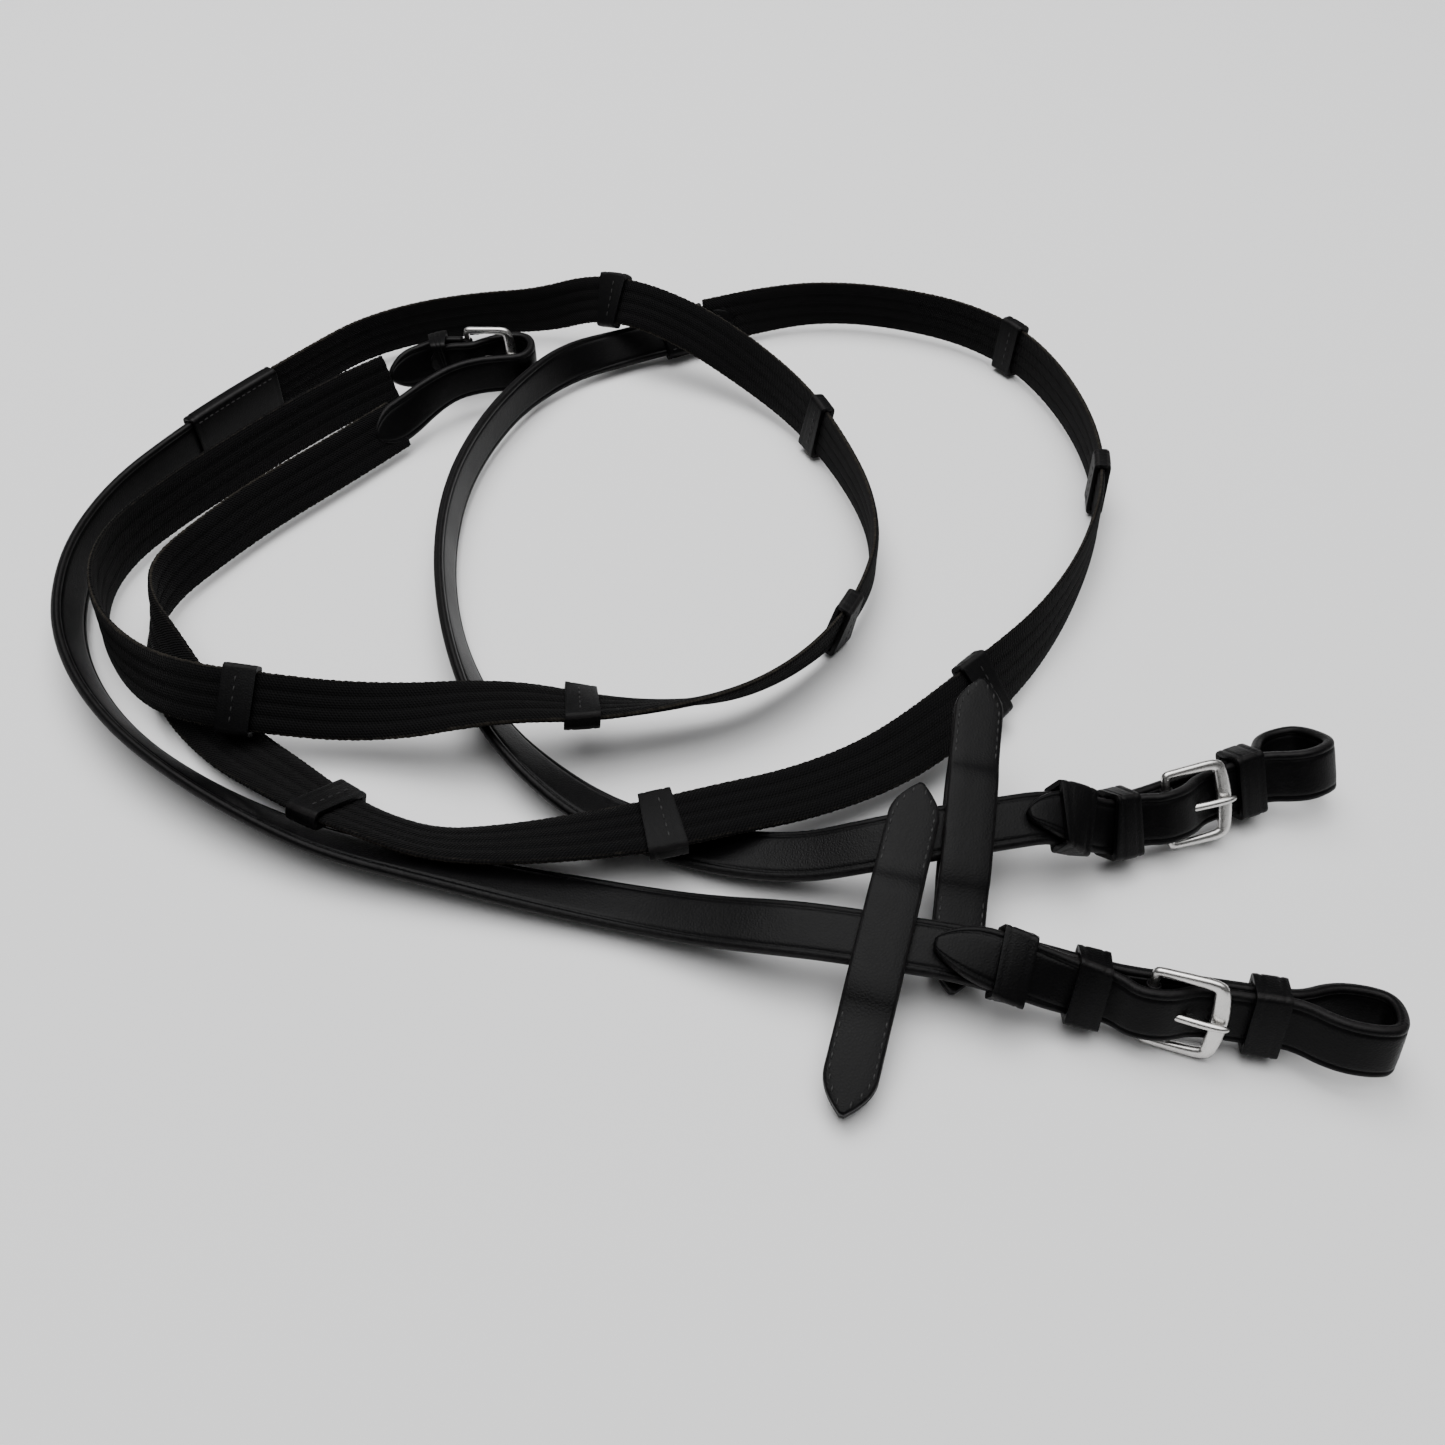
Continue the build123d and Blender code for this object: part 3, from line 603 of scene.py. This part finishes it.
def bandOutline(width, low, high):
    w, r = width / 2, min((high - low) / 2, 0.0016)
    corners = [(-w + r, high - r, 180, 90), (w - r, high - r, 90, 0), (w - r, low + r, 0, -90),
               (-w + r, low + r, -90, -180)]
    points = []
    for x, y, start, end in corners:
        for k in range(4):
            turn = math.radians(start + (end - start) * k / 3)
            points.append((x + r * math.cos(turn), y + r * math.sin(turn)))
    return points


def makeBand(name, path, start, end, low, high, width, wall, gap, material, body, node):
    stations = stripStations(path, levelLine(start, end, 0, min(0.0007, (end - start) / 14)))
    outline = bandOutline(width + 2 * (gap + wall), low - gap - wall, high + gap + wall)
    long = end - start

    def creased(k):
        fromEdge = min(k, 1 - k) * long
        crease = 0.00022 if abs(fromEdge - 0.0019) < 0.0003 else 0.0
        return 0.00012 * min(fromEdge / 0.0012, 1) - crease - 0.0001
    piece = sweepStrap(name, stations, outline, ends="open", swell=creased)
    thicken(piece, wall, 0.0004)
    finish(piece, material, body, [node])


def makeBands(name):
    leatherPath, webPath = paths[name]["leather"], paths[name]["web"]
    end = bitEnds[name]
    half = strap["leatherThick"] / 2
    top = layerHeights()["billet"] + half + 0.0002
    reach = band["keeperLong"] / 2
    for i, s in enumerate(end["keepers"]):
        high = top + (0.0005 if i == 1 else 0)
        body, gap = ("reins", band["snug"]) if i else (f"{name}_bit_keeper", band["slides"])
        makeBand(f"rein_{name}_keeper_{i + 1}_band", leatherPath, s - reach, s + reach, -half, high,
                 strap["leather"], band["keeperWall"], gap, leather, body,
                 f"rein_{name}_keeper_{i + 1}")
    webHalf = strap["webThick"] / 2
    reach = band["handStopLong"] / 2
    for i, (x, y) in enumerate(handStops[name]):
        s = nearestLength(webPath, x, y)
        label = f"rein_{name}_hand_stop_{i + 1}"
        makeBand(f"{label}_band", webPath, s - reach, s + reach, -webHalf, webHalf, strap["web"],
                 band["handStopWall"], band["snug"], bandLeather, "reins", label)
    long = leatherPath["long"]
    makeBand(f"rein_{name}_joint_cover", leatherPath, long - end["patch"], long - 0.0005 - end["point"],
             -half, half, strap["leather"], band["coverWall"], band["snug"], leather, "reins",
             f"rein_{name}_joint_patch")
    print("bands", name)


# rein stops: two leather layers sewn together either side of the strap
reinStop = {"half": 0.0485, "wide": 0.0145, "layer": 0.002, "sewnFrom": 0.019, "bulge": 0.0031, "tip": 0.011}


def stopFrame(path, s, turn):
    here, square, across, face = frameAt(path, s)
    c, n = math.cos(math.radians(turn)), math.sin(math.radians(turn))
    return here, square * c + across * n, across * c - square * n, face


def stopStations(path, s, turn, side):
    here, along, across, face = stopFrame(path, s, turn)
    half, sewn, bulge = reinStop["half"], reinStop["sewnFrom"], reinStop["bulge"]
    flat = reinStop["layer"] / 2 + 0.00005
    oneEnd = [(0.006, bulge), (0.015, bulge), (sewn + 0.002, flat), (0.032, flat), (0.044, flat),
              (half, flat)]
    route = [(-a, m) for a, m in reversed(oneEnd)] + oneEnd
    line = [(p.x, p.y) for p in splinePoints([(a, m, 0) for a, m in route])]
    stations = []
    for i, (a, m) in enumerate(line):
        before, after = line[max(i - 1, 0)], line[min(i + 1, len(line) - 1)]
        through = (face * side * (after[0] - before[0]) - across * (after[1] - before[1])).normalized()
        stations.append((here + across * a + face * side * m, along, through, a))
    return stations


def stopWidth(a):
    toTip = reinStop["half"] - abs(a)
    return 1.0 if toTip > reinStop["tip"] else 0.1 + 0.9 * (1 - (1 - toTip / reinStop["tip"]) ** 2)


def makeReinStop(name):
    path = paths[name]["leather"]
    s = nearestLength(path, *bitEnds[name]["stopAt"])
    outline = leatherOutline(reinStop["wide"], reinStop["layer"], 0)
    for side, label in ((1, "top"), (-1, "bottom")):
        stations = stopStations(path, s, bitEnds[name]["stopTurn"], side)
        runs = [st[3] for st in stations]
        piece = sweepStrap(f"rein_{name}_stop_{label}_leather", stations, outline,
                           lambda k: stopWidth(runs[round(k * (len(runs) - 1))]))
        finish(piece, leather, f"{name}_rein_stop", [f"rein_{name}_stop_{label}"])
    print("rein stop", name)


for name in ("a", "b"):
    makeStraps(name)
    makeBands(name)
    makeReinStop(name)


# chapes: thin leather folded round a buckle's back bar, in two strips either side of the tongue
chape = {"wide": 0.014, "slot": 0.0042}


def makeChape(name, path, bar, rise, replaced):
    here, along, across, face = frameAt(path, bar)
    middle = here + face * rise
    ring = buckle["bar"] + buckle["hinge"] + buckle["chape"] / 2
    drop = rise - layerHeights()["tail"]
    line = []
    if replaced:
        line = [(buckle["tail"] * (1 - k / 6), -drop) for k in range(5)]
        line += [(-math.sin(a) * ring, -math.cos(a) * ring) for a in (0.25 * k for k in range(24))]
    else:
        line = [(-0.0034 * (1 - k / 4), -0.0006) for k in range(3)]
        line += [(-math.cos(a) * ring, -math.sin(a) * ring) for a in (0.25 * k for k in range(1, 25))]
    wide = (chape["wide"] - chape["slot"]) / 2
    for side, label in ((-1, "left"), (1, "right")):
        stations = []
        for i, (u, v) in enumerate(line):
            before, after = line[max(i - 1, 0)], line[min(i + 1, len(line) - 1)]
            du, dv = after[0] - before[0], after[1] - before[1]
            place = middle + along * u + face * v + across * side * (chape["slot"] + wide) / 2
            stations.append((place, across, (face * du - along * dv).normalized(), i * 0.0005))
        piece = sweepStrap(f"{name}_{label}", stations, leatherOutline(wide, buckle["chape"], 0))
        finish(piece, leather, "reins", replaced if side < 0 else ())


# centre: the two leather ends and the buckle between them
def makeCentre():
    outline = leatherOutline(strap["leather"], strap["leatherThick"])
    pathA, pathB = paths["a"]["end"], paths["b"]["end"]
    stations = stripStations(pathB, levelLine(0.0002, pathB["long"], 0, 0.0015))
    piece = sweepStrap("rein_b_centre_leather", stations, outline, pointed(stations, 0.013, 0.01))
    finish(piece, leather, "reins", ["rein_b_centre_end"])
    half = strap["leatherThick"] / 2
    long = pathA["long"]
    stations = stripStations(pathA, levelLine(0.0002, long - 0.002, 0, 0.0015))
    piece = sweepStrap("rein_a_centre_leather", stations, outline, pointed(stations, 0.013, 0))
    finish(piece, leather, "reins", ["rein_a_centre_end"])
    makeChape("centre_chape", pathA, long, 0, [])
    makeBand("centre_keeper_band", pathA, long - 0.0135, long - 0.008, -0.0074, half, strap["leather"],
             band["keeperWall"], band["snug"], leather, "reins", "centre_keeper")
    print("centre")


makeCentre()


# buckles: a D of steel wire with a broad outer bar, and a tongue that narrows to its tip. In millimetres:
# distance from the back bar, distance to the side and width for the frame, and distance, rise and radius
# for the tongue
buckleShape = {"long": 0.016, "thick": 0.0024, "sleeve": 0.0042,
               "half": [(0, 0, 2.3), (0, 8.2, 2.3), (0, 10.6, 2.4), (0.6, 11.1, 2.5), (3, 11.2, 2.5),
                        (10, 11.3, 2.7), (14.4, 11.2, 3.1), (16.4, 10.4, 3.7), (17.0, 8.6, 4.1),
                        (17.5, 4.5, 4.5), (17.7, 0, 4.6)],
               "tongue": [(0, 1.55, 1.2), (3, 1.7, 1.2), (8, 2.35, 1.15), (14, 2.75, 1.1), (18, 2.7, 1.0),
                          (19.6, 2.3, 0.85), (20.3, 1.9, 0.5), (20.5, 1.7, 0.12)]}
mm = 0.001


def buckleAxes(path, s, rise, tilt, turned=False):
    here, along, across, face = frameAt(path, s)
    if turned:
        along, face = -along, -face
    c, n = math.cos(math.radians(tilt)), math.sin(math.radians(tilt))
    x = face * n - along * c
    z = face * c + along * n
    return here + face * rise, x, z.cross(x), z


def roundOutline(width, height, points=14, square=0.8):
    outline = []
    for k in range(points):
        turn = 2 * math.pi * k / points
        c, n = math.cos(turn), math.sin(turn)
        x, y = math.copysign(abs(c) ** square, c), math.copysign(abs(n) ** square, n)
        outline.append((x * width / 2, y * height / 2))
    return outline


def makeBuckle(label, axes, frameBody, tongueBody, frameNode, tongueNode):
    origin, x, y, z = axes
    half = buckleShape["half"]
    route = half + [(a, -b, w) for a, b, w in reversed(half[:-1])]
    points = [p * mm for p in splinePoints(route)]
    stations = []
    for i, p in enumerate(points):
        before = points[i - 1] if i else points[-2]
        after = points[i + 1] if i < len(points) - 1 else points[1]
        way = Vector((after.x - before.x, after.y - before.y, 0)).normalized()
        aside = x * way.y - y * way.x
        stations.append((origin + x * p.x + y * p.y, aside, z, i / len(points)))
    widths = [p.z for p in points]
    ring = sweepStrap(f"{label}_frame", stations, roundOutline(1.0, buckleShape["thick"]),
                      lambda k: widths[round(k * (len(widths) - 1))], ends="joined")
    finish(ring, steel, frameBody, [frameNode])
    points = [p * mm for p in splinePoints(buckleShape["tongue"])]
    stations = []
    for i, p in enumerate(points):
        before, after = points[max(i - 1, 0)], points[min(i + 1, len(points) - 1)]
        way = Vector((after.x - before.x, 0, after.y - before.y)).normalized()
        stations.append((origin + x * p.x + z * p.y, y, z * way.x - x * way.z, i / len(points)))
    radii = [p.z for p in points]
    around = 12
    tongue = sweepStrap(f"{label}_tongue_rod", stations, roundOutline(2.0, 2.0, around, 1.0))
    for i, v in enumerate(tongue.data.vertices):
        station = min(i // around, len(stations) - 1)
        v.co = stations[station][0] + (v.co - stations[station][0]) * radii[station]
    sleeveStations = [(origin + y * w * mm, x, z, w) for w in (-1.6, -1.45, 1.45, 1.6)]
    across = buckleShape["sleeve"]
    sleeve = sweepStrap(f"{label}_tongue_sleeve", sleeveStations, roundOutline(across, across, 20, 1.0))
    finish(tongue, steel, tongueBody, [tongueNode])
    finish(sleeve, steel, tongueBody)
    print("buckle", label)


def makeBuckles():
    heights = layerHeights()
    outer = strap["leatherThick"] * 1.5 + 2 * strap["gap"] + buckle["outerBar"]
    tilt = math.degrees((outer - heights["bar"]) / buckleShape["long"])
    for name in ("a", "b"):
        axes = buckleAxes(paths[name]["leather"], bitEnds[name]["bar"], heights["bar"], tilt)
        makeBuckle(f"rein_{name}_buckle", axes, f"{name}_bit_buckle", f"{name}_bit_tongue",
                   f"rein_{name}_bit_buckle", f"rein_{name}_bit_tongue")
        makeChape(f"rein_{name}_chape", paths[name]["leather"], bitEnds[name]["bar"], heights["bar"],
                  [f"rein_{name}_bit_chape"])
    path = paths["a"]["end"]
    axes = buckleAxes(path, path["long"], 0, 3.5, True)
    makeBuckle("centre_buckle", axes, "centre_buckle", "centre_tongue", "centre_buckle", "centre_tongue")


makeBuckles()


# stitches: short waxed threads lying in rows
stitch = {"long": 0.00095, "thick": 0.00026, "pitch": 0.0028}


def makeStitches(name, spots, body):
    bm = bmesh.new()
    for place, way, face in spots:
        side = face.cross(way)
        turn = Matrix((way * stitch["long"], side * stitch["thick"], face * stitch["thick"])).transposed()
        lie = Matrix.Translation(place) @ turn.to_4x4() @ Matrix.Rotation(math.pi / 2, 4, "Y")
        bmesh.ops.create_uvsphere(bm, u_segments=6, v_segments=4, radius=1.0, matrix=lie)
    bmesh.ops.recalc_face_normals(bm, faces=bm.faces)
    mesh = bpy.data.meshes.new(name)
    bm.to_mesh(mesh)
    bm.free()
    for face in mesh.polygons:
        face.use_smooth = True
    piece = bpy.data.objects.new(name, mesh)
    bpy.context.collection.objects.link(piece)
    finish(piece, thread, body)


def stopSeams(name):
    path = paths[name]["leather"]
    s = nearestLength(path, *bitEnds[name]["stopAt"])
    here, along, across, face = stopFrame(path, s, bitEnds[name]["stopTurn"])
    level = reinStop["layer"] + 0.00012
    spots = []
    a = reinStop["sewnFrom"] + 0.0015
    while a < reinStop["half"] - 0.002:
        inset = (reinStop["wide"] / 2 - 0.0014) * min(1.0, stopWidth(a + 0.0015))
        for end in (-1, 1):
            for edge in (-1, 1):
                for side in (-1, 1):
                    place = here + across * a * end + along * inset * edge + face * level * side
                    spots.append((place, across, face * side))
        a += stitch["pitch"]
    return spots


def coverSeams(name):
    path, end = paths[name]["leather"], bitEnds[name]
    spots = []
    s = path["long"] - end["patch"] + 0.003
    while s < path["long"] - end["point"] - 0.002:
        here, along, across, face = frameAt(path, s)
        for edge in (-1, 1):
            for side in (-1, 1):
                rise = strap["leatherThick"] / 2 + band["snug"] + band["coverWall"] + 0.00005
                spots.append((here + across * 0.0072 * edge + face * rise * side, along, face * side))
        s += stitch["pitch"]
    return spots


def handStopSeams(name):
    path = paths[name]["web"]
    rise = strap["webThick"] / 2 + band["snug"] + band["handStopWall"] + 0.00002
    spots = []
    for x, y in handStops[name]:
        s = nearestLength(path, x, y)
        for k in range(5):
            for side in (-1, 1):
                here, along, across, face = frameAt(path, s + 0.0008 * side)
                spots.append((here + across * (k - 2) * 0.0032 + face * rise * side, across, face * side))
    return spots


for name in ("a", "b"):
    makeStitches(f"rein_{name}_stop_seam", stopSeams(name), f"{name}_rein_stop")
    makeStitches(f"rein_{name}_strap_seams", coverSeams(name) + handStopSeams(name), "reins")
print("seams")
